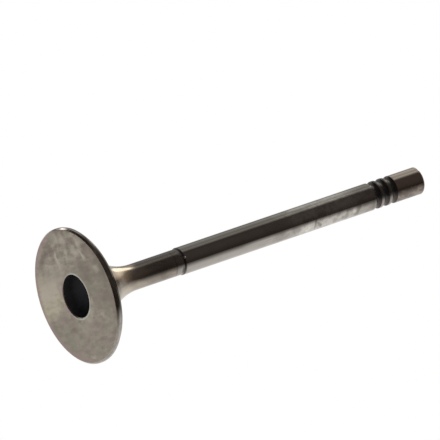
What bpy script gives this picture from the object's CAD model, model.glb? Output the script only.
# %% [markdown]
# # An exhaust valve, dressed
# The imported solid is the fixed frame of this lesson: a poppet valve standing on its head, with the flat
# combustion face on z = 0 and the stem rising along +Z. It is one turned piece, so one dressed piece
# takes its place here. First the frame is loaded and its box is kept, because a dressed piece has to
# stay inside it.

# %% Load the frame and keep its box
from math import asin, cos, pi, radians, sin, tan

import bpy
from mathutils import Matrix, Vector


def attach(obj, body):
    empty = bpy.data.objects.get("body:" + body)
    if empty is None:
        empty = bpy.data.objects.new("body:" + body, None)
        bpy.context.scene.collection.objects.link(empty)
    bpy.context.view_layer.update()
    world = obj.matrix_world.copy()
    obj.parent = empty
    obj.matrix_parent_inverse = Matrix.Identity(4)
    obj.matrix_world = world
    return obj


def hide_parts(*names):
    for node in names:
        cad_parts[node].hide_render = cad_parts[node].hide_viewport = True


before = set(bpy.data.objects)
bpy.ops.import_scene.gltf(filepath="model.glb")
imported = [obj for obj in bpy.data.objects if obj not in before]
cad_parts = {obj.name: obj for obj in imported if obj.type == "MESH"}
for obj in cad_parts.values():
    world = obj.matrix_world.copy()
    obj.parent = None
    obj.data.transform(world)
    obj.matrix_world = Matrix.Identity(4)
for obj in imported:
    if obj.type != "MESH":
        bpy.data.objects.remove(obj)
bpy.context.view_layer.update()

# %% [markdown]
# ## The camera
# The valve is seen from the side of its face, which is from below when it stands on its head, and the
# picture is turned so that the stem runs up to the right. A long lens far away keeps the outline almost
# free of perspective, as a small part is usually pictured. The camera is placed by where it stands, by
# the way the stem lies in the picture, and by the point in the picture's middle.

# %% Camera: named values
picture_side = 440.0                            # the picture is square; pixels
pixels_per_metre = 4068.5                       # scale at the face
axis_to_view = radians(57.87)                   # angle between the stem and the line of sight
stem_rise = radians(18.735)                     # how far the stem climbs above the picture's horizontal
face_centre_x, face_centre_y = 75.80, 296.495   # pixels from the left and from the top
camera_distance = 4.6                           # metres
sensor = 36.0                                   # millimetres, as the lens is

to_camera = Vector((0.0, -sin(axis_to_view), -cos(axis_to_view)))
along_stem = Vector((0.0, -cos(axis_to_view), sin(axis_to_view)))   # the stem as it lies in the picture
across_stem = Vector((1.0, 0.0, 0.0))
picture_right = along_stem * cos(stem_rise) + across_stem * sin(stem_rise)
picture_up = along_stem * sin(stem_rise) - across_stem * cos(stem_rise)
print("picture right", picture_right, "picture up", picture_up)

# %% Camera: place it
right_of_face = (picture_side / 2 - face_centre_x) / pixels_per_metre
above_face = (face_centre_y - picture_side / 2) / pixels_per_metre
middle = picture_right * right_of_face + picture_up * above_face
camera_data = bpy.data.cameras.new("camera")
camera_data.sensor_width = sensor
camera_data.lens = sensor * pixels_per_metre * camera_distance / picture_side
camera_data.clip_start, camera_data.clip_end = 0.1, 20.0
camera = bpy.data.objects.new("camera", camera_data)
bpy.context.scene.collection.objects.link(camera)
turn = Matrix((picture_right, picture_up, to_camera)).transposed().to_4x4()
camera.matrix_world = Matrix.Translation(middle + to_camera * camera_distance) @ turn
bpy.context.scene.camera = camera
print("lens", round(camera_data.lens), "mm at", camera_distance, "m")

# %% [markdown]
# ## The sizes
# The real valve is made to a drawing, and these are its numbers, in metres. The half section below is
# drawn from them, so that each edge sits where the solid has it.

# %% Named sizes
mm = 0.001
overall_length = 105.3 * mm
head_radius = 17.4 * mm
margin_height = 1.2 * mm
rim_chamfer = 0.4 * mm
seat_angle = radians(45.0)
seat_width = 1.35 * mm
back_angle = radians(25.0)
fillet_radius = 14.5 * mm
pocket_radius = 5.5 * mm
pocket_depth = 5.0 * mm
pocket_draft = radians(5.0)
pocket_floor_radius = 3.0 * mm
pocket_lip = 0.2 * mm
neck_radius = 3.3 * mm
stem_radius = 3.5 * mm
step_height = 31.05 * mm
step_length = 0.4 * mm
groove_count = 3
groove_pitch = 2.5 * mm
groove_width = 1.8 * mm
groove_depth = 0.5 * mm
tip_to_groove = 9.3 * mm
tip_chamfer = 0.35 * mm

# %% Sizes that follow from them
face_radius = head_radius - rim_chamfer
seat_edge_radius = head_radius - seat_width * cos(seat_angle)
seat_edge_height = margin_height + seat_width * sin(seat_angle)
fillet_centre_radius = neck_radius + fillet_radius
fillet_run = fillet_radius - (fillet_centre_radius - seat_edge_radius) * sin(back_angle)
fillet_top = seat_edge_height + fillet_run / cos(back_angle)
groove_form = (groove_width ** 2 / 4 + groove_depth ** 2) / (2 * groove_depth)
groove_centre = stem_radius - groove_depth + groove_form
first_groove = overall_length - tip_to_groove
print("the fillet meets the neck at", round(fillet_top / mm, 2), "mm above the face")

# %% [markdown]
# ## The half section
# A lathe makes this shape, and the spin operator is Blender's lathe: it needs one line, the half
# section, from the axis in the pocket round the head and up the stem to the axis again at the tip.
# The line starts as a plane merged to one point, and each further point is an extrusion of the last.
# Round parts are walked in short steps along their arcs.

# %% Helpers that draw the line
def start_line(name, radius, height):
    """A plane added at the first point of the section and merged to that one point."""
    bpy.ops.object.select_all(action="DESELECT")
    bpy.ops.mesh.primitive_plane_add(size=mm, location=(radius, 0.0, height))
    piece = bpy.context.object
    piece.name = name
    bpy.ops.object.transform_apply(location=True, rotation=False, scale=False)
    bpy.ops.object.mode_set(mode="EDIT")
    bpy.ops.mesh.select_mode(type="VERT")
    bpy.ops.mesh.select_all(action="SELECT")
    bpy.ops.mesh.merge(type="CENTER")
    pen[:] = [radius, height]
    return piece


def line_to(radius, height):
    """Extrudes the last point to the next one of the section."""
    step = (radius - pen[0], 0.0, height - pen[1])
    bpy.ops.mesh.extrude_region_move(TRANSFORM_OT_translate={"value": step})
    pen[:] = [radius, height]


def arc_to(centre_radius, centre_height, arc_radius, first, last, steps):
    """Walks along an arc. Angles are from the outward horizontal, upwards."""
    for step in range(1, steps + 1):
        angle = first + (last - first) * step / steps
        line_to(centre_radius + arc_radius * cos(angle), centre_height + arc_radius * sin(angle))


pen = [0.0, 0.0]                                # where the line has got to: radius and height
root_steps, fillet_steps, groove_steps = 14, 48, 12

# %% [markdown]
# The pocket in the face is forged: a flat floor, a generous root radius, and a wall with a few degrees
# of draft so that the punch comes out. The root arc touches the floor and the wall.

# %% Draw the pocket
valve = start_line("valve_steel", 0.0, pocket_depth)
root_centre = (pocket_radius - (pocket_depth - pocket_floor_radius) * tan(pocket_draft)
               - pocket_floor_radius / cos(pocket_draft))
line_to(root_centre, pocket_depth)
arc_to(root_centre, pocket_depth - pocket_floor_radius, pocket_floor_radius,
       pi / 2, pocket_draft, root_steps)
line_to(pocket_radius - pocket_lip * tan(pocket_draft), pocket_lip)
line_to(pocket_radius + pocket_lip, 0.0)
print("pocket drawn")

# %% Draw the face, the rim and the seat
line_to(face_radius, 0.0)
line_to(head_radius, rim_chamfer)
line_to(head_radius, margin_height)
line_to(seat_edge_radius, seat_edge_height)
print("head drawn round to the seat's edge,", round(pen[1] / mm, 2), "mm above the face")

# %% Draw the back of the head, the fillet and the neck
line_to(fillet_centre_radius - fillet_radius * sin(back_angle),
        fillet_top - fillet_radius * cos(back_angle))
arc_to(fillet_centre_radius, fillet_top, fillet_radius, -pi / 2 - back_angle, -pi, fillet_steps)
line_to(neck_radius, step_height)
line_to(stem_radius, step_height + step_length)
print("head and neck drawn up to", round(pen[1] / mm, 2), "mm")

# %% Draw the stem, the grooves and the tip
groove_half = asin(groove_width / 2 / groove_form)
for groove in reversed(range(groove_count)):
    height = first_groove - groove * groove_pitch
    line_to(stem_radius, height - groove_width / 2)
    arc_to(groove_centre, height, groove_form, -pi + groove_half, -pi - groove_half, groove_steps)
line_to(stem_radius, overall_length - tip_chamfer)
line_to(stem_radius - tip_chamfer, overall_length)
line_to(0.0, overall_length)
valve.update_from_editmode()
print("section drawn with", len(valve.data.vertices), "points before the lathe")

# %% [markdown]
# ## The lathe
# The line is spun once round the axis. The first and last rings meet and are merged, and so are the
# points that fall together on the axis. Spin can leave the shape inside out, so its normals are made
# to point outwards after the merge.

# %% Spin the section
spin_steps = 256
merge_distance = 0.002 * mm
bpy.ops.mesh.select_all(action="SELECT")
bpy.ops.mesh.spin(steps=spin_steps, angle=2 * pi, use_auto_merge=True,
                  center=(0.0, 0.0, 0.0), axis=(0.0, 0.0, 1.0))
bpy.ops.mesh.select_all(action="SELECT")
bpy.ops.mesh.remove_doubles(threshold=merge_distance)
bpy.ops.mesh.normals_make_consistent(inside=False)
bpy.ops.object.mode_set(mode="OBJECT")
print("lathe made", len(valve.data.polygons), "faces")

# %% [markdown]
# No turned edge is razor sharp: each is broken by a few hundredths of a millimetre and so catches a fine
# line of light. The round parts are shaded smooth. Their shading is then evened by the size of the
# faces, or the narrow faces of a broken edge would pull the light on their wide neighbours askew.

# %% Break the edges and smooth what is round
edge_break = 0.06 * mm
sharp_from = radians(20.0)
breaker = valve.modifiers.new("edge_break", "BEVEL")
breaker.width = edge_break
breaker.segments = 2
breaker.limit_method = "ANGLE"
breaker.angle_limit = sharp_from
bpy.ops.object.modifier_apply(modifier=breaker.name)
bpy.ops.object.shade_smooth_by_angle(angle=sharp_from)
evener = valve.modifiers.new("even_shading", "WEIGHTED_NORMAL")
evener.keep_sharp = True
bpy.ops.object.modifier_apply(modifier=evener.name)
print("after breaking the edges:", len(valve.data.polygons), "faces")

# %% [markdown]
# ## Where each finish sits
# One piece of steel carries many finishes: a mottled combustion face, a sooty pocket, a turned rim, a
# ground seat, a forged and heat-tinted back, a polished stem with oil smears, grooves full of baked oil
# and a hardened tip. Each is a material of its own, a recipe of noise patterns. All of them read object
# coordinates, in metres, so a pattern stays where it is on the metal from any side, and a blotch can be
# given its real size. In the recipes the upper side is the one towards -X and the lower side the one
# towards +X, as they lie in the picture. A band is a pair of places: nothing at the first, everything at
# the second, and a soft change between. First come a few small helpers, which write in whichever node
# tree is open, so that a finish reads as a recipe.

# %% Recipe helpers: nodes
page = [None]                                   # the node tree that the helpers write in


def open_page(tree):
    """Empties a node tree and makes it the one that is written in."""
    tree.nodes.clear()
    page[:] = [tree]


def feed(node, values):
    """Gives sockets, by name or number, a plain value or the output of another node."""
    for socket, value in values.items():
        if isinstance(value, bpy.types.NodeSocket):
            page[0].links.new(value, node.inputs[socket])
        else:
            node.inputs[socket].default_value = value


def add(kind, values, **settings):
    """A new node with its settings and its sockets fed."""
    node = page[0].nodes.new("ShaderNode" + kind)
    for setting, value in settings.items():
        setattr(node, setting, value)
    feed(node, values)
    return node


def new_finish(name):
    """A material with one steel shader. Returns it with its shader and the coordinates."""
    finish = bpy.data.materials.new(name)
    finish.use_nodes = True
    open_page(finish.node_tree)
    shader = add("BsdfPrincipled", {"Metallic": 1.0})
    add("OutputMaterial", {0: shader.outputs[0]})
    return finish, shader, add("TexCoord", {}).outputs["Object"]


# %% Recipe helpers: numbers and masks
def number(operation, first, second=0.0, third=0.0):
    """One sum on one, two or three values."""
    return add("Math", {0: first, 1: second, 2: third}, operation=operation).outputs[0]


def times(first, second):
    """Where two masks are both, or a mask thinned to a share."""
    return number("MULTIPLY", first, second)


def larger(first, second):
    """Where either of two masks is."""
    return number("MAXIMUM", first, second)


def scaled(value, gain, start):
    """start plus gain times value."""
    return number("MULTIPLY_ADD", value, gain, start)


def gap(value, middle):
    """How far a value is from the middle, either way."""
    return number("ABSOLUTE", number("SUBTRACT", value, middle))


def ramp(value, low, high):
    """0 at low and 1 at high, with soft ends. low may be the larger one."""
    ends = {"Value": value, "From Min": low, "From Max": high}
    return add("MapRange", ends, interpolation_type="SMOOTHSTEP").outputs[0]


def between(value, start, end):
    """1 between two bands, soft at both."""
    return times(ramp(value, *start), ramp(value, *end))


def vector_length(vector):
    """The length of a vector."""
    return add("VectorMath", {0: vector}, operation="LENGTH").outputs["Value"]


# %% Recipe helpers: places on the metal
def stretch(place, scale=(1.0, 1.0, 1.0), turn=(0.0, 0.0, 0.0)):
    """Coordinates scaled and turned, so that a pattern runs long one way."""
    return add("Mapping", {"Vector": place, "Rotation": turn, "Scale": scale}).outputs[0]


def parts_of(place):
    """x, y and z."""
    return add("SeparateXYZ", {0: place}).outputs


def from_axis(place):
    """The distance from the stem's axis."""
    return vector_length(stretch(place, (1.0, 1.0, 0.0)))


def unrolled(x, y, along):
    """Coordinates for a turned surface: its two directions round the axis, and one along it."""
    angle = number("ARCTAN2", y, x)
    ways = {0: number("COSINE", angle), 1: number("SINE", angle), 2: along}
    return add("CombineXYZ", ways).outputs[0]


def ragged(place, size, reach):
    """Coordinates that wander by up to reach metres, so that a stain gets a ragged edge."""
    noise_swing = 0.25                          # how far noise usually strays from its middle value
    noise = add("TexNoise", {"Vector": place, "Scale": 1.0 / size, "Detail": 3.0}).outputs["Color"]
    centred = add("VectorMath", {0: noise, 1: (0.5, 0.5, 0.5)}, operation="SUBTRACT").outputs[0]
    widened = {0: centred, 1: [reach / noise_swing] * 3, 2: place}
    return add("VectorMath", widened, operation="MULTIPLY_ADD").outputs[0]


def patch(place, centre, half, turn=(0.0, 0.0, 0.0), soft=0.5):
    """A soft blob: 1 inside, 0 outside. Its centre and half sizes are in mm, its turn in degrees."""
    blob = {"Vector": place, "Location": [length * mm for length in centre],
            "Rotation": [radians(angle) for angle in turn], "Scale": [length * mm for length in half]}
    within = add("Mapping", blob, vector_type="TEXTURE").outputs[0]
    return ramp(vector_length(within), 1.0 + soft, 1.0 - soft)


# %% Recipe helpers: patterns, colours and relief
def clouds(place, size, detail=3.0, roughness=0.55, distortion=0.0):
    """Noise whose blotches are about size metres across, from 0 to 1."""
    grain = {"Vector": place, "Scale": 1.0 / size, "Detail": detail, "Roughness": roughness,
             "Distortion": distortion}
    return add("TexNoise", grain).outputs[0]


def tint(share, first, second):
    """Goes from the first colour to the second by share."""
    first, second = (colour if isinstance(colour, bpy.types.NodeSocket) else (*colour, 1.0)
                     for colour in (first, second))
    return add("Mix", {0: share, 6: first, 7: second}, data_type="RGBA").outputs[2]


def lay(colour, shade, mask, share=1.0):
    """Lays a shade over a colour where the mask says, as densely as share says."""
    return tint(times(mask, share), colour, shade)


def relief(height, depth, under=None):
    """Bump of a given depth in metres, laid over another relief if there is one."""
    bump = add("Bump", {"Distance": depth, "Height": height})
    if under is not None:
        feed(bump, {"Normal": under})
    return bump.outputs[0]


def lathe_marks(x, y, along, pitch, depth):
    """The fine rings that a turning or grinding tool leaves round the axis."""
    rings = clouds(unrolled(x, y, times(along, 1.0 / pitch)), 1.0, roughness=0.6)
    return relief(rings, depth)


# %% [markdown]
# ## The combustion face
# The face has stood in the fire: its scale and soot have been wiped, and left blotches of a few
# millimetres, grey, brown and olive. Two noises make them, round clouds and strokes that all run one way
# across the face, as a rag does. The mottling is strongest towards the upper rim and in a straw-coloured
# fan that spreads from the pocket over one flank. The marks that a random pattern would never put in the
# right place, pale rubs, dark stains and touches of olive and rose, are laid on one by one. Last come a
# rosy heat tint along one edge, soot along the other, and the mouth of the pocket, which is rubbed bright.

# %% Face: colours
face_grey = (0.44, 0.395, 0.335)
face_olive = (0.405, 0.40, 0.315)
face_brown = (0.405, 0.335, 0.30)
face_pale = (0.66, 0.605, 0.52)
face_dark = (0.235, 0.20, 0.165)
face_rosy = (0.485, 0.365, 0.36)
face_straw = (0.71, 0.655, 0.515)
face_rubbed = (0.74, 0.73, 0.66)

# %% Face: where things lie
upper_part = (-5.0 * mm, -10.0 * mm)                     # a band of x
fan_start = (radians(-42.0), radians(-8.0))              # bands of the angle from +Y towards +X
fan_end = (radians(22.0), radians(11.0))
edge_band = (15.2 * mm, 16.6 * mm)                       # bands of the distance from the axis
mouth_band = (6.3 * mm, 5.75 * mm)
rosy_side, sooty_side = (-4.0 * mm, 8.0 * mm), (-7.0 * mm, -13.0 * mm)      # bands of y
rubbed_side, rubbed_slant = (4.5 * mm, -1.5 * mm), -0.35
warmed_side = (1.0 * mm, 4.0 * mm)
right_through = 1000.0                                   # a half size (mm) that any mark may have in z

# %% Face: the marks laid on one by one
# Each row: x, y, half length along x, half length along y (mm), turn (degrees), share.
pale_marks = (
    (-10.3, 2.8, 1.5, 0.6, 4.0, 0.85),
    (-8.0, 2.9, 0.9, 0.8, 0.0, 0.45),
    (-11.0, -1.7, 0.9, 0.7, 0.0, 0.6),
    (-9.2, -1.5, 1.0, 0.5, 0.0, 0.35),
    (-10.7, -5.9, 1.7, 1.0, -30.0, 0.55),
    (-9.2, -8.9, 1.5, 0.55, -40.0, 0.8),
    (-12.6, -8.4, 1.2, 0.8, -20.0, 0.5),
    (-14.9, 1.0, 1.2, 1.4, 0.0, 0.5),
    (-14.4, -2.0, 1.3, 1.0, -30.0, 0.65),
    (-13.2, 9.6, 2.2, 0.9, 38.0, 0.6),
    (-8.6, 7.2, 2.0, 2.6, 0.0, 0.25),
    (-6.3, 13.4, 1.2, 2.2, 0.0, 0.4),
    (-5.2, 4.4, 0.8, 1.4, 0.0, 0.4),
    (-5.0, -13.0, 0.7, 1.1, 0.0, 0.5),
    (-2.6, 12.6, 1.7, 3.2, 0.0, 0.85),
    (-5.3, 7.6, 1.7, 3.2, 0.0, 0.4),
    (-3.8, 8.0, 1.6, 2.4, 20.0, 0.7),
    (-7.2, 3.3, 1.6, 1.6, 0.0, 0.4),
    (1.3, 10.4, 1.5, 0.8, 0.0, 0.45),
    (2.9, 6.3, 1.3, 1.2, 0.0, 0.25),
    (2.3, -6.3, 0.9, 0.7, 0.0, 0.45),
    (5.0, -4.2, 0.7, 1.5, -30.0, 0.6),
    (6.2, -2.6, 0.8, 1.3, 0.0, 0.65),
    (6.4, -9.4, 0.5, 1.1, 20.0, 0.5),
    (9.4, -13.6, 0.9, 0.7, 0.0, 0.4),
    (8.6, -0.5, 1.8, 3.2, 0.0, 0.2),
    (15.6, 1.0, 0.4, 1.0, 0.0, 0.65),
)
dark_marks = (
    (-12.8, 4.6, 1.0, 1.1, 0.0, 0.6),
    (-12.0, 8.2, 1.1, 2.4, -28.0, 0.55),
    (-10.1, 10.5, 1.0, 1.2, 0.0, 0.45),
    (-15.1, 3.2, 0.6, 1.2, 0.0, 0.5),
    (-15.7, -3.0, 1.0, 0.9, 0.0, 0.55),
    (-12.4, -3.2, 1.0, 1.6, 0.0, 0.4),
    (-10.2, -10.8, 1.7, 1.6, 0.0, 0.6),
    (-5.6, -7.8, 2.8, 3.2, 0.0, 0.45),
    (1.5, -9.8, 2.6, 4.0, 0.0, 0.22),
    (8.0, 9.0, 3.6, 4.4, 0.0, 0.16),
    (-3.2, -10.5, 1.0, 4.5, 0.0, 0.3),
    (-4.0, -15.6, 2.4, 0.9, 0.0, 0.5),
    (-8.2, -14.2, 4.0, 2.2, 0.0, 0.38),
    (3.0, -15.2, 3.5, 0.9, 0.0, 0.35),
    (-0.2, -7.0, 1.8, 0.7, 0.0, 0.4),
    (-2.4, -8.2, 1.3, 1.3, 0.0, 0.3),
    (5.2, -12.8, 1.8, 1.9, 0.0, 0.3),
    (2.8, -12.5, 0.9, 3.4, 12.0, 0.3),
    (6.0, 1.7, 0.6, 0.6, 0.0, 0.4),
    (7.7, 6.2, 0.5, 1.3, 0.0, 0.35),
    (10.1, 4.0, 0.5, 0.7, 0.0, 0.4),
    (13.3, 5.0, 0.6, 2.2, 8.0, 0.35),
    (1.0, 7.2, 1.2, 1.2, 0.0, 0.3),
    (4.4, 14.3, 1.4, 1.2, 0.0, 0.35),
    (-1.5, -14.3, 3.4, 2.2, 0.0, 0.3),
    (12.1, -6.0, 0.5, 1.6, 0.0, 0.3),
    (13.8, -4.2, 0.6, 1.2, 0.0, 0.3),
)
olive_marks = (
    (-15.2, 2.0, 1.1, 1.3, 0.0, 0.7),
    (-15.3, -4.8, 0.7, 1.0, 0.0, 0.7),
    (-6.6, 4.8, 0.7, 1.2, 0.0, 0.5),
    (-9.0, -11.2, 0.7, 1.3, 0.0, 0.5),
    (-0.5, -7.1, 1.6, 0.8, 0.0, 0.5),
    (5.9, -2.9, 0.7, 0.9, 0.0, 0.6),
    (10.6, 8.6, 1.3, 1.6, 0.0, 0.5),
    (8.0, -13.4, 1.3, 0.9, 0.0, 0.4),
)
rosy_marks = (
    (-13.4, 9.4, 1.3, 0.9, 30.0, 0.5),
    (-9.9, -12.2, 1.4, 0.9, 0.0, 0.45),
    (-2.8, 6.4, 1.8, 0.6, 0.0, 0.5),
    (2.0, 6.2, 1.2, 0.6, 0.0, 0.45),
    (4.8, 9.7, 0.8, 1.2, 0.0, 0.5),
    (4.2, -15.4, 1.0, 0.8, 0.0, 0.4),
    (13.7, 5.6, 0.7, 1.4, 0.0, 0.5),
)
print(sum(map(len, (pale_marks, dark_marks, olive_marks, rosy_marks))), "marks on the face")


# %% Face: the recipe
def face_finish():
    finish, shader, place = new_finish("mottled_face")
    x, y, _ = parts_of(place)
    radius = from_axis(place)
    strokes = clouds(stretch(place, (1.6, 0.45, 1.0)), 1.7 * mm, detail=4.0, roughness=0.62)
    blotches = clouds(place, 2.0 * mm, detail=4.0, roughness=0.6)
    mottle = ramp(scaled(blotches, 0.5, times(strokes, 0.5)), 0.39, 0.61)

    # slow drifts of colour, then the mottling
    colour = tint(ramp(clouds(place, 7.0 * mm), 0.35, 0.65), face_grey, face_brown)
    drift = clouds(stretch(place, turn=(1.0, 0.0, 0.0)), 2.2 * mm)
    colour = lay(colour, face_olive, ramp(drift, 0.45, 0.65), 0.7)
    fan = between(number("ARCTAN2", x, y), fan_start, fan_end)
    lively = scaled(larger(ramp(x, *upper_part), fan), 0.26, 0.27)
    colour = tint(lively, colour, tint(mottle, face_dark, face_pale))
    streaky = scaled(ramp(strokes, 0.35, 0.65), 0.3, 0.5)
    colour = lay(colour, face_straw, fan, streaky)

    # the marks, with ragged edges
    loose = ragged(place, size=1.6 * mm, reach=0.5 * mm)
    for shade, marks in ((face_dark, dark_marks), (face_pale, pale_marks),
                         (face_olive, olive_marks), (face_rosy, rosy_marks)):
        for cx, cy, half_x, half_y, turn, share in marks:
            half = (half_x, half_y, right_through)
            mark = patch(loose, (cx, cy, 0.0), half, (0.0, 0.0, turn), soft=0.75)
            colour = lay(colour, shade, mark, share)

    # the two edges and the mouth of the pocket
    edge = ramp(radius, *edge_band)
    colour = lay(colour, face_rosy, times(edge, ramp(y, *rosy_side)), 0.65)
    colour = lay(colour, face_dark, times(edge, ramp(y, *sooty_side)), 0.3)
    mouth = ramp(radius, *mouth_band)
    rubbed = ramp(scaled(x, rubbed_slant, y), *rubbed_side)
    colour = lay(colour, face_rubbed, times(mouth, rubbed), 0.9)
    colour = lay(colour, face_rosy, times(mouth, ramp(y, *warmed_side)), 0.5)

    rings = lathe_marks(x, y, radius, pitch=0.22 * mm, depth=0.004 * mm)
    pitted = relief(clouds(place, 0.5 * mm, detail=2.0, roughness=0.6), 0.02 * mm, rings)
    feed(shader, {"Base Color": colour, "Roughness": scaled(blotches, 0.2, 0.36), "Normal": pitted})
    return finish


# %% [markdown]
# ## The pocket
# No rag reaches into the pocket, so its forged skin keeps a coat of soot. Soot is no metal: it is a dark
# powder that scatters what little light it returns, so this is the one finish that isn't metallic. It is
# a shade lighter towards the floor and darkest on the lower side.

# %% Pocket: the recipe
soot_wall = (0.0145, 0.0128, 0.0142)
soot_floor = (0.030, 0.029, 0.033)
soot_low = (0.0062, 0.0045, 0.0062)
soot_depth = (1.5 * mm, 5.0 * mm)                        # a band of z, from the mouth to the floor
soot_side = (-2.0 * mm, 5.0 * mm)                        # a band of x


def pocket_finish():
    finish, shader, place = new_finish("pocket_soot")
    x, _, z = parts_of(place)
    soot = clouds(place, 1.4 * mm, detail=4.0, roughness=0.6)
    colour = tint(ramp(z, *soot_depth), soot_wall, soot_floor)
    colour = lay(colour, soot_low, ramp(x, *soot_side), 0.75)
    colour = lay(colour, soot_floor, ramp(soot, 0.45, 0.7), 0.25)
    feed(shader, {"Base Color": colour, "Metallic": 0.0, "Specular IOR Level": 0.15,
                  "Roughness": scaled(soot, 0.2, 0.6), "Normal": relief(soot, 0.05 * mm)})
    return finish


# %% [markdown]
# ## The rim and the seat
# The rim is plain turned steel, browned by heat. Soot is smeared along its upper side, a few bare nicks
# show where it has knocked against something, and one spot at the top is rubbed bare. The ground seat is
# greyer and returns less light at a glancing angle. One recipe serves both, with colours, edge shine and
# stains of their own.

# %% Rim and seat: colours, nicks and stains
rim_steel, rim_brown, rim_shine = (0.46, 0.43, 0.39), (0.39, 0.355, 0.32), (1.0, 1.0, 1.0)
seat_steel, seat_brown, seat_shine = (0.40, 0.385, 0.355), (0.32, 0.30, 0.27), (0.5, 0.5, 0.48)
bare_steel = (0.70, 0.67, 0.63)
rim_soot = (0.10, 0.09, 0.085)
nicked_side = (2.0 * mm, -2.0 * mm)                      # a band of x
bared_x, bared_y = (-16.2 * mm, -16.8 * mm), (-2.6 * mm, -3.6 * mm)
rim_nicks = (
    # the centre of a patch and its half sizes (mm)
    ((-8.9, -14.8, 0.2), (0.5, 0.6, 0.3)),
    ((-2.0, -17.2, 0.2), (0.6, 0.6, 0.25)),
    ((8.0, -15.4, 0.85), (1.8, 1.5, 0.35)),
)
rim_stains = (
    # the centre of a patch, its half sizes (mm), and its share
    ((-17.0, -1.3, 0.3), (1.5, 1.7, 1.5), 0.3),
    ((-5.0, -16.0, 1.3), (10.0, 8.0, 0.9), 0.42),
    ((-11.8, -12.6, 0.85), (2.3, 4.0, 0.6), 0.85),
    ((-12.5, -11.5, 0.1), (2.6, 4.0, 0.45), 0.6),
    ((4.5, -16.8, 0.1), (2.5, 4.0, 0.45), 0.2),
    ((14.0, -9.5, 0.1), (5.0, 8.0, 0.45), 0.3),
)
seat_stains = (
    ((-2.0, -17.0, 1.7), (11.5, 8.0, 8.0), 0.75),
    ((-11.5, -12.6, 1.9), (3.4, 4.0, 1.6), 0.8),
)


# %% Rim and seat: the recipe
def rim_finish(name, steel, browned, edge_shine, stains):
    finish, shader, place = new_finish(name)
    x, y, z = parts_of(place)
    heat = clouds(place, 1.6 * mm, detail=4.0, roughness=0.62)
    colour = tint(ramp(heat, 0.38, 0.64), browned, steel)
    specks = clouds(stretch(place, (1.0, 1.0, 0.5)), 0.9 * mm, detail=2.0, roughness=0.5)
    specks = ramp(specks, 0.66, 0.74)
    colour = lay(colour, bare_steel, times(specks, ramp(x, *nicked_side)), 0.8)
    loose = ragged(place, size=1.2 * mm, reach=0.3 * mm)
    for centre, half, share in stains:
        colour = lay(colour, rim_soot, patch(loose, centre, half), share)
    for centre, half in rim_nicks:
        colour = lay(colour, bare_steel, patch(place, centre, half), 0.7)
    bared = times(ramp(x, *bared_x), ramp(y, *bared_y))
    colour = lay(colour, bare_steel, bared)
    marks = lathe_marks(x, y, z, pitch=0.12 * mm, depth=0.003 * mm)
    feed(shader, {"Base Color": colour, "Roughness": scaled(heat, 0.1, 0.12),
                  "Specular Tint": (*edge_shine, 1.0), "Normal": marks})
    return finish


# %% [markdown]
# ## The back of the head, the fillet and the neck
# This skin is forged and only lightly worked, and the exhaust has tinted it straw and brown with a thin
# hard varnish. It is darker next to the head, along its upper side and in three small stains. Up the neck
# it turns browner and oilier, to a greyer collar with a fine dark line where the guide begins, and a
# crust and a stain have baked on beside the ring of the step. The varnish noise drives the colour and the
# gloss together: where it is thick, the steel is both browner and duller.

# %% Back, fillet and neck: colours
straw_steel = (0.585, 0.52, 0.45)
brown_steel = (0.40, 0.345, 0.295)
neck_steel = (0.37, 0.326, 0.286)
neck_brown = (0.255, 0.225, 0.20)
neck_top = (0.188, 0.17, 0.157)
back_shade = (0.25, 0.22, 0.19)
baked_oil = (0.035, 0.034, 0.036)
crust_grey = (0.13, 0.125, 0.145)
collar_grey = (0.42, 0.405, 0.39)

# %% Back, fillet and neck: where things lie
neck_heights = (15.0 * mm, 23.0 * mm)                    # bands of z
head_heights = (10.5 * mm, 9.2 * mm)
neck_top_heights, neck_top_side = (16.2 * mm, 18.6 * mm), (-1.4 * mm, -2.4 * mm)    # of z and of x
back_top_heights, back_top_side = (13.0 * mm, 10.5 * mm), (-2.0 * mm, -2.6 * mm)
collar_heights, collar_side = (28.8 * mm, 29.5 * mm), (-0.5 * mm, 1.0 * mm)
line_height, line_reach = 28.95 * mm, (0.35 * mm, 0.05 * mm)
oil_begins, oil_full = 0.22 * mm, 0.02 * mm              # how far below the step
back_stains = (
    # the centre of a patch, its half sizes (mm), and its share
    ((2.2, -2.8, 15.7), (0.9, 1.6, 1.3), 0.22),
    ((-0.9, -5.2, 9.9), (1.0, 1.5, 1.0), 0.55),
    ((2.0, -5.6, 9.1), (0.6, 1.2, 0.6), 0.5),
)
ring_stain = ((2.5, -2.2, 30.75), (0.9, 1.5, 0.42))
ring_crust = ((-1.75, -2.95, 30.95), (1.0, 1.6, 0.85))
nick_place = (-0.5, -3.46, 31.42)


# %% Back, fillet and neck: the recipe
def step_crust(place):
    """The crust beside the step, on both sides of it."""
    return patch(ragged(place, size=0.8 * mm, reach=0.15 * mm), *ring_crust)


def ring_nick(place, normal):
    """One bright nick on the ring, as a small bump laid over a normal."""
    nick = patch(place, nick_place, (0.2, 0.3, 0.2), soft=0.9)
    return relief(nick, 0.12 * mm, normal)


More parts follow.
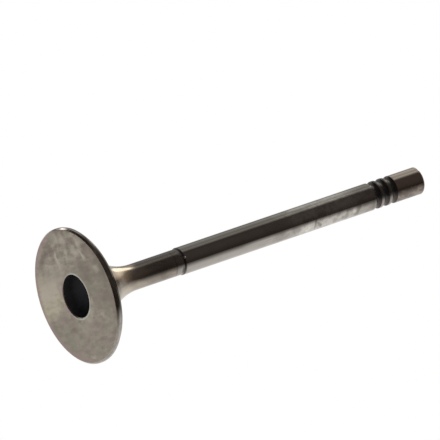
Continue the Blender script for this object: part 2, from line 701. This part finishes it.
def back_finish():
    finish, shader, place = new_finish("heat_tinted_back")
    x, y, z = parts_of(place)
    varnish = clouds(stretch(place, (1.0, 1.0, 0.45)), 3.2 * mm, detail=4.0, roughness=0.6, distortion=0.6)
    colour = tint(ramp(varnish, 0.35, 0.72), straw_steel, brown_steel)
    neck = tint(ramp(varnish, 0.36, 0.64), neck_steel, neck_brown)
    colour = tint(ramp(z, *neck_heights), colour, neck)
    shaded = times(ramp(z, *neck_top_heights), ramp(x, *neck_top_side))
    colour = lay(colour, neck_top, shaded)
    colour = lay(colour, back_shade, ramp(z, *head_heights), 0.7)
    shaded = times(ramp(z, *back_top_heights), ramp(x, *back_top_side))
    colour = lay(colour, back_shade, shaded, 0.35)
    for centre, half, share in back_stains:
        colour = lay(colour, back_shade, patch(place, centre, half, soft=0.8), share)

    # the collar and its line wander a little up and down with the varnish
    height = scaled(varnish, 0.6 * mm, z)
    collar = times(ramp(height, *collar_heights), ramp(x, *collar_side))
    colour = lay(colour, collar_grey, collar, 0.45)
    colour = lay(colour, baked_oil, ramp(gap(height, line_height), *line_reach), 0.3)
    edge = ramp(z, step_height - oil_begins, step_height - oil_full)
    colour = lay(colour, baked_oil, edge, 0.7)
    crust = step_crust(place)
    colour = lay(colour, crust_grey, crust, 0.8)
    colour = lay(colour, baked_oil, patch(place, *ring_stain, soft=0.6), 0.75)
    dullness = scaled(crust, 0.3, scaled(varnish, 0.16, 0.10))
    marks = lathe_marks(x, y, z, pitch=0.2 * mm, depth=0.0025 * mm)
    varnished = relief(varnish, 0.01 * mm, marks)
    feed(shader, {"Base Color": colour, "Roughness": dullness, "Normal": varnished})
    return finish


# %% [markdown]
# ## The stem
# The stem runs in the guide, so it is ground and polished. A film of oil dulls most of it; between about
# 25 and 40 mm from the tip it has been wiped off and the steel is bright, and so is a narrow band along
# the lower side. From the middle of the stem to the grooves lie smears and finger marks. Fine rings are
# its relief, the smears stand a few thousandths of a millimetre proud, and the ring of the step has one
# nick.

# %% Stem: colours and where things lie
stem_bright = (0.67, 0.64, 0.605)
stem_wiped = (0.90, 0.87, 0.82)
stem_filmed = (0.46, 0.435, 0.405)
stem_smeared = (0.26, 0.24, 0.215)
film_below, film_above = (69.0 * mm, 65.0 * mm), (83.0 * mm, 89.0 * mm)    # bands of z
shade_side, shade_heights = (-1.0 * mm, -2.2 * mm), (68.0 * mm, 56.0 * mm)
handled_heights = (50.0 * mm, 68.0 * mm)
wiped_across = ((0.9 * mm, 1.4 * mm), (2.2 * mm, 1.8 * mm))                # start and end, of x
wiped_along = ((47.0 * mm, 53.0 * mm), (84.0 * mm, 76.0 * mm))             # and of z
mark_depth = 2.0                                         # half size of a mark (mm) into the stem
foot_oil = 0.18 * mm                                     # how far the oil reaches above the step
askew = (0.5, 0.6, 0.0)                                  # a turn (radians), aslant to the stem

# %% Stem: the marks laid on one by one
# Each row: x, y, z of the middle, half lengths across and along the stem (mm), turn (degrees), share.
stem_wipes = (
    (-3.0, -1.8, 76.0, 0.8, 8.0, 0.0, 0.45),
    (2.6, -2.3, 68.4, 0.9, 1.2, 0.0, 0.5),
    (1.8, -3.0, 69.6, 0.7, 0.8, 0.0, 0.3),
    (1.8, -3.0, 80.2, 0.5, 0.6, 0.0, 0.5),
    (1.9, -3.0, 83.3, 0.6, 0.6, 0.0, 0.6),
)
stem_smudges = (
    (-2.1, -2.8, 67.5, 0.5, 3.0, 0.0, 0.35),
    (2.2, -2.7, 60.0, 1.2, 1.7, 0.0, 0.3),
    (1.7, -3.0, 61.0, 0.6, 0.9, 0.0, 0.35),
    (2.0, -2.8, 65.2, 1.0, 1.4, 0.0, 0.45),
    (2.1, -2.8, 71.2, 1.1, 0.32, 12.0, 0.75),
    (2.5, -2.5, 72.4, 1.0, 0.32, -50.0, 0.75),
    (2.8, -2.1, 72.9, 0.4, 0.35, 0.0, 0.6),
    (2.8, -2.1, 77.4, 0.6, 0.8, 0.0, 0.4),
    (1.7, -3.0, 78.4, 0.6, 0.6, 0.0, 0.35),
    (2.6, -2.3, 80.9, 0.8, 0.6, 0.0, 0.6),
    (1.4, -3.2, 81.2, 0.4, 0.5, 0.0, 0.4),
    (2.8, -2.1, 79.9, 0.4, 0.5, 0.0, 0.45),
    (2.3, -2.6, 84.5, 1.1, 0.42, 32.0, 0.85),
    (1.5, -3.1, 85.0, 0.4, 0.45, 0.0, 0.6),
    (1.4, -3.2, 87.0, 0.6, 1.0, 0.0, 0.5),
    (2.4, -2.5, 88.9, 1.2, 1.1, 0.0, 0.55),
    (2.4, -2.5, 89.3, 1.5, 0.5, 0.0, 0.85),
)


# %% Stem: the recipe
def stem_finish():
    finish, shader, place = new_finish("ground_stem")
    x, y, z = parts_of(place)
    film = clouds(stretch(place, (1.0, 1.0, 0.35)), 5.0 * mm)
    height = scaled(film, 5.0 * mm, z)
    filmed = larger(ramp(height, *film_below), ramp(height, *film_above))
    colour = tint(filmed, stem_bright, stem_filmed)
    colour = lay(colour, stem_smeared, ramp(film, 0.4, 0.65), 0.18)
    shaded = times(ramp(x, *shade_side), ramp(height, *shade_heights))
    colour = lay(colour, stem_smeared, shaded, 0.5)

    # smears, the wiped band and the single marks
    slanted = stretch(place, (1.0, 1.0, 0.9), askew)
    smears = clouds(slanted, 2.2 * mm, detail=4.0, roughness=0.6, distortion=0.2)
    handled = ramp(z, *handled_heights)
    dirty = times(ramp(smears, 0.46, 0.66), scaled(handled, 0.44, 0.14))
    colour = lay(colour, stem_smeared, dirty)
    wiped = times(between(x, *wiped_across), between(z, *wiped_along))
    colour = lay(colour, stem_wiped, wiped, 0.38)
    for shade, marks in ((stem_wiped, stem_wipes), (stem_smeared, stem_smudges)):
        for cx, cy, cz, across, along, turn, share in marks:
            mark = patch(place, (cx, cy, cz), (across, mark_depth, along), (0.0, turn, 0.0))
            colour = lay(colour, shade, mark, share)

    # oil at the edge of the step, and finger marks on the part that has been handled
    stem_foot = step_height + step_length
    edge = ramp(z, stem_foot + foot_oil, stem_foot)
    colour = lay(colour, baked_oil, edge, 0.7)
    prints = ramp(clouds(place, 0.7 * mm, roughness=0.6), 0.45, 0.65)
    colour = lay(colour, stem_smeared, handled, times(prints, 0.3))
    dullness = scaled(dirty, 0.08, scaled(film, 0.06, 0.07))
    marks = lathe_marks(x, y, z, pitch=0.09 * mm, depth=0.0004 * mm)
    nicked = ring_nick(place, relief(smears, 0.003 * mm, marks))
    feed(shader, {"Base Color": colour, "Roughness": dullness, "Normal": nicked})
    return finish


# %% [markdown]
# ## The tip
# The tip is hardened by heat, which leaves it a little warmer in colour than the stem. Its upper side
# has been wiped clean, but for a brown stain of oil beside the last groove, and its lower side carries a
# dull, patchy coat.

# %% Tip: the recipe
tip_steel = (0.51, 0.425, 0.38)
tip_clean = (0.69, 0.615, 0.525)
tip_coat = (0.19, 0.158, 0.14)
tip_worn = (0.32, 0.275, 0.242)
crust_brown = (0.085, 0.064, 0.054)
coated_side, clean_side = (0.9 * mm, 2.0 * mm), (-1.2 * mm, -2.4 * mm)     # bands of x
tip_stain = ((-2.7, -2.2, 96.3), (0.9, 1.5, 0.8))


def tip_finish():
    finish, shader, place = new_finish("hardened_tip")
    x, y, z = parts_of(place)
    coat = clouds(stretch(place, (1.0, 1.0, 0.8), askew), 1.3 * mm, detail=4.0, roughness=0.6)
    coated = ramp(scaled(coat, 1.2 * mm, x), *coated_side)
    colour = lay(tip_steel, tip_worn, ramp(coat, 0.4, 0.65), 0.25)
    colour = lay(colour, tip_clean, ramp(x, *clean_side))
    colour = lay(colour, crust_brown, patch(place, *tip_stain, soft=0.6), 0.5)
    patchy = tint(ramp(coat, 0.42, 0.62), tip_coat, tip_worn)
    colour = lay(colour, patchy, coated)
    dullness = scaled(coated, 0.10, scaled(coat, 0.06, 0.07))
    marks = lathe_marks(x, y, z, pitch=0.09 * mm, depth=0.0005 * mm)
    feed(shader, {"Base Color": colour, "Roughness": dullness, "Normal": relief(coat, 0.004 * mm, marks)})
    return finish


# %% [markdown]
# ## The grooves and the step
# Oil has baked to a black crust in the grooves that hold the keepers and on the small step between neck
# and stem. The lands between the grooves stand proud and are rubbed, so the recipe lets more steel show
# as the radius grows. The lower side of the grooves is browner, and their lands are paler there. The step
# has its share of the grey crust beside it, and the one bright nick.

# %% Grooves and step: the recipe
step_black, step_film, step_rubbed = (0.05, 0.05, 0.05), (0.12, 0.12, 0.115), (0.20, 0.195, 0.185)
groove_black, groove_film = (0.09, 0.093, 0.097), (0.135, 0.13, 0.127)
groove_rubbed = (0.20, 0.189, 0.178)
land_steel = (0.50, 0.45, 0.44)
nick_steel = (0.98, 0.98, 1.0)
browned_side = (0.9 * mm, 2.0 * mm)                      # a band of x
crust_thickness = 0.1 * mm
step_rubbed_from = neck_radius + 0.05 * mm               # distances from the axis
groove_rubbed_from = stem_radius - 0.12 * mm


def crust_finish(name, black, film, rubbed, rubbed_from, dusty=0.0, browned=0.0):
    """dusty is the share of the grey crust, browned that of the brown on the lower side."""
    finish, shader, place = new_finish(name)
    x, _, _ = parts_of(place)
    crust = clouds(place, 0.8 * mm, detail=4.0, roughness=0.6)
    colour = tint(ramp(crust, 0.4, 0.75), black, film)
    lower = times(ramp(x, *browned_side), browned)
    colour = lay(colour, crust_brown, lower)
    proud = scaled(crust, crust_thickness, from_axis(place))
    proud = ramp(proud, rubbed_from + crust_thickness / 2, stem_radius + crust_thickness / 2)
    colour = lay(colour, rubbed, proud)
    colour = lay(colour, land_steel, proud, lower)
    colour = lay(colour, crust_grey, step_crust(place), dusty)
    nick = patch(place, nick_place, (0.25, 0.3, 0.25), soft=0.9)
    colour = lay(colour, nick_steel, nick)
    nicked = ring_nick(place, relief(crust, 0.02 * mm))
    feed(shader, {"Base Color": colour, "Roughness": scaled(crust, 0.25, 0.22), "Normal": nicked})
    return finish


# %% Make all the finishes
finishes = {
    "face": face_finish(),
    "pocket": pocket_finish(),
    "rim": rim_finish("turned_rim", rim_steel, rim_brown, rim_shine, rim_stains),
    "seat": rim_finish("ground_seat", seat_steel, seat_brown, seat_shine, seat_stains),
    "back": back_finish(),
    "stem": stem_finish(),
    "step": crust_finish("baked_step", step_black, step_film, step_rubbed,
                         step_rubbed_from, dusty=0.7),
    "groove": crust_finish("oily_grooves", groove_black, groove_film, groove_rubbed,
                           groove_rubbed_from, browned=0.65),
    "tip": tip_finish(),
}
order = list(finishes)
for key in order:
    valve.data.materials.append(finishes[key])
print("finishes:", ", ".join(order))

# %% [markdown]
# Every face of the mesh is then given its finish by where its centre lies on the half section. The
# sections meet at real edges of the part, so no seam shows.

# %% Give every face its finish
hair = 0.02 * mm


def finish_at(radius, height):
    """The name of the finish at a point of the half section."""
    if height < pocket_depth + hair and radius < pocket_radius + hair:
        return "pocket"
    if height < hair or (radius < pocket_radius + pocket_lip and height < margin_height):
        return "face"
    if height < margin_height:
        return "rim"
    if height < seat_edge_height and radius > seat_edge_radius:
        return "seat"
    if height < step_height:
        return "back"
    if height < step_height + step_length:
        return "step"
    if height > first_groove + groove_width / 2:
        return "tip"
    if height > first_groove - (groove_count - 1) * groove_pitch - groove_width / 2:
        return "groove"
    return "stem"


counts = dict.fromkeys(order, 0)
for face in valve.data.polygons:
    centre = face.center
    key = finish_at(Vector((centre.x, centre.y)).length, centre.z)
    face.material_index = order.index(key)
    counts[key] += 1
print("faces per finish:", counts)

# %% Put the dressed piece on its body
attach(valve, "root")
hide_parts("valve")
print(valve.name, "rides on root in place of the solid")

# %% [markdown]
# ## The studio
# Polished steel has hardly a colour of its own: what one sees on it is the room. So the room is the
# larger half of this finish. Directions are named as a photographer would: the side angle is measured to
# the right of straight away from the camera, and the height angle is above or below the table top.

# %% Directions in the studio
view_height = radians(40.6)                     # how high above the table top the camera stands
table_up = picture_up * cos(view_height) + to_camera * sin(view_height)
away = (table_up * to_camera.dot(table_up) - to_camera).normalized()


def toward(side_angle, height_angle):
    """A direction by its angle right of straight away and its height above the table."""
    level = away * cos(radians(side_angle)) + picture_right * sin(radians(side_angle))
    return level * cos(radians(height_angle)) + table_up * sin(radians(height_angle))


print("table up", table_up, "straight away", away)

# %% [markdown]
# ## The floor
# The valve stands on its head on a white floor a hair below the face. The camera looks from below the
# floor here, so the sheet is clear from its underside and white from above, where it keeps the valve's
# shadow. It takes no part in lighting the steel, which mirrors the studio's own table instead.

# %% The floor: the sheet
floor_size = 3.0
floor_gap = 0.3 * mm
bpy.ops.object.select_all(action="DESELECT")
bpy.ops.mesh.primitive_plane_add(size=floor_size, location=(0.0, 0.0, -floor_gap))
floor = bpy.context.object
floor.name = "floor"
floor.visible_diffuse = False
floor.visible_glossy = False
floor.visible_transmission = False
floor.visible_shadow = False
print("floor of", floor_size, "m")

# %% The floor: its paper
paper_white = (0.8, 0.8, 0.8, 1.0)
paper_glow = 0.35
paper = bpy.data.materials.new("white_paper")
paper.use_nodes = True
open_page(paper.node_tree)
sheet = add("BsdfDiffuse", {"Color": paper_white})
glow = add("Emission", {"Strength": paper_glow})
both = add("AddShader", {0: sheet.outputs[0], 1: glow.outputs[0]})
clear = add("BsdfTransparent", {})
underside = add("NewGeometry", {}).outputs["Backfacing"]
pick = add("MixShader", {0: underside, 1: both.outputs[0], 2: clear.outputs[0]})
add("OutputMaterial", {0: pick.outputs[0]})
floor.data.materials.append(paper)
print("paper on the floor:", paper.name)

# %% [markdown]
# ## The lamp
# One tall, warm lamp stands behind the valve and a little to its right. With the window of the room
# round it, it makes the narrow bright line along the top of the fillet. It is metres away, so that its
# mirror image lies at the same place along the whole stem.

# %% The lamp
lamp_distance = 5.0
lamp_width, lamp_height = 1.60, 4.20
lamp_glow = 1.6                                 # each square metre of a flat lamp sends out pi times that
lamp_side_angle, lamp_height_angle = 20.5, 8.5
lamp_colour = (1.0, 0.92, 0.79)
lamp_data = bpy.data.lights.new("window_lamp", "AREA")
lamp_data.shape = "ELLIPSE"
lamp_data.size, lamp_data.size_y = lamp_width, lamp_height
lamp_data.color = lamp_colour
lamp_data.energy = lamp_glow * pi * (pi / 4 * lamp_width * lamp_height)
lamp = bpy.data.objects.new("window_lamp", lamp_data)
bpy.context.scene.collection.objects.link(lamp)
lamp_way = toward(lamp_side_angle, lamp_height_angle)
lamp_up = (table_up - lamp_way * table_up.dot(lamp_way)).normalized()
lamp_side = lamp_up.cross(lamp_way)
lamp_turn = Matrix((lamp_side, lamp_up, lamp_way)).transposed().to_4x4()
lamp.matrix_world = Matrix.Translation(lamp_way * lamp_distance) @ lamp_turn
lamp.visible_camera = False
print("lamp of", round(lamp_data.energy, 1), "W")

# %% [markdown]
# ## The room that the steel mirrors
# Seen directly, the world is plain white, and so it is for the paper and the soot, which mirror nothing.
# Seen in the steel, it is a studio built from soft caps of light: a pale table below the horizon that
# darkens towards it, a dark room above, darker still behind the camera, a grey wall straight ahead with a
# crisp edge and a dim rail, a window of three panes behind the lamp, a brown glow that fades away to its
# right, and a small bright glint far to the left.

# %% The world: its node tree and helpers
world = bpy.data.worlds.new("studio")
bpy.context.scene.world = world
world.use_nodes = True
world.cycles.sampling_method = "NONE"
open_page(world.node_tree)
direction = add("TexCoord", {}).outputs["Generated"]


def facing(target):
    """How nearly a direction faces the target: its cosine."""
    return add("VectorMath", {0: direction, 1: target}, operation="DOT_PRODUCT").outputs["Value"]


above = facing(table_up)
side = number("ARCTAN2", facing(picture_right), facing(away))


def cap(side_angle, height_angle, inner, outer):
    """1 within inner degrees of a direction, 0 beyond outer degrees."""
    return ramp(facing(toward(side_angle, height_angle)), cos(radians(outer)), cos(radians(inner)))


def by_height(low, high):
    """0 at one height angle and 1 at another."""
    return ramp(above, sin(radians(low)), sin(radians(high)))


def by_side(low, high):
    """0 at one side angle and 1 at another."""
    return ramp(side, radians(low), radians(high))


print("world:", world.name)

# %% The world: colours
room_low = (0.056, 0.0455, 0.042)
room_high = (0.071, 0.061, 0.056)
behind_low = (0.027, 0.0185, 0.017)
behind_high = (0.046, 0.036, 0.033)
wall_bright = (0.56, 0.555, 0.54)
wall_dim = (0.355, 0.348, 0.333)
wall_edge_dim = (0.15, 0.145, 0.135)
brown_glow = (0.50, 0.40, 0.31)
window = (1.15, 1.05, 0.88)
table_dark = (0.135, 0.125, 0.115)
table_pale = (0.86, 0.85, 0.825)
side_glint = (2.0, 1.9, 1.8)

# %% The world: where things are, in degrees
room_heights, behind_heights = (12.0, 46.0), (8.0, 36.0)
behind_camera = (-0.15, -0.6)                   # a band of the cosine to straight away
glow_cap = (38.0, -12.0, 12.0, 58.0)            # side angle, height angle, inner, outer
wall_cap, wall_end = (10.0, 0.0, 50.2, 52.2), (62.0, 34.0)
wall_heights, wall_sides = (-2.0, 30.0), (18.0, 38.0)
rail_height, rail_reach = 31.5, (0.075, 0.02)   # the reach is a difference of sines
table_heights, horizon = (3.0, -42.0), (1.5, -1.5)
table_cap = (63.0, -10.0, 2.0, 17.0)
pane_cap, pane_start = (30.0, 3.0, 8.0, 25.5), (3.0, 10.0)
upper_panes = (((19.0, 26.0, 2.0, 9.0), 0.7), ((22.5, 32.0, 2.0, 8.5), 0.75))
glint_cap = (-46.0, 3.0, 1.0, 11.0)

# %% The world: the room, the wall and the table
colour = tint(by_height(*room_heights), room_low, room_high)
behind = tint(by_height(*behind_heights), behind_low, behind_high)
colour = tint(ramp(facing(away), *behind_camera), colour, behind)
colour = lay(colour, brown_glow, cap(*glow_cap), 0.9)
wall = tint(by_height(*wall_heights), wall_bright, wall_dim)
wall = tint(by_side(*wall_sides), wall, wall_edge_dim)
rail = ramp(gap(above, sin(radians(rail_height))), *rail_reach)
wall = lay(wall, wall_edge_dim, rail, 0.35)
colour = tint(times(cap(*wall_cap), by_side(*wall_end)), colour, wall)
table = tint(by_height(*table_heights), table_dark, table_pale)
colour = tint(by_height(*horizon), colour, table)
colour = lay(colour, table_pale, cap(*table_cap), 0.3)
print("room, wall and table made of", len(world.node_tree.nodes), "nodes")

# %% The world: the window and the glint
panes = times(cap(*pane_cap), by_side(*pane_start))
for upper_pane, share in upper_panes:
    panes = larger(panes, times(cap(*upper_pane), share))
colour = tint(panes, colour, window)
colour = tint(cap(*glint_cap), colour, side_glint)
print("window of", 1 + len(upper_panes), "panes")

# %% The world: white to the camera, the room to the steel
studio = add("Background", {"Color": colour})
plain = add("Background", {"Color": (1.0, 1.0, 1.0, 1.0)})
mirrored = add("LightPath", {}).outputs["Is Glossy Ray"]
choose = add("MixShader", {0: mirrored, 1: plain.outputs[0], 2: studio.outputs[0]})
add("OutputWorld", {0: choose.outputs[0]})
print("studio made of", len(world.node_tree.nodes), "nodes")

# %% [markdown]
# ## Colour, sizes and the end
# Colours are shown as they are, and the box of the dressed piece is kept beside that of the solid.

# %% Colour management, sizes and the end
bpy.context.scene.view_settings.view_transform = "Standard"
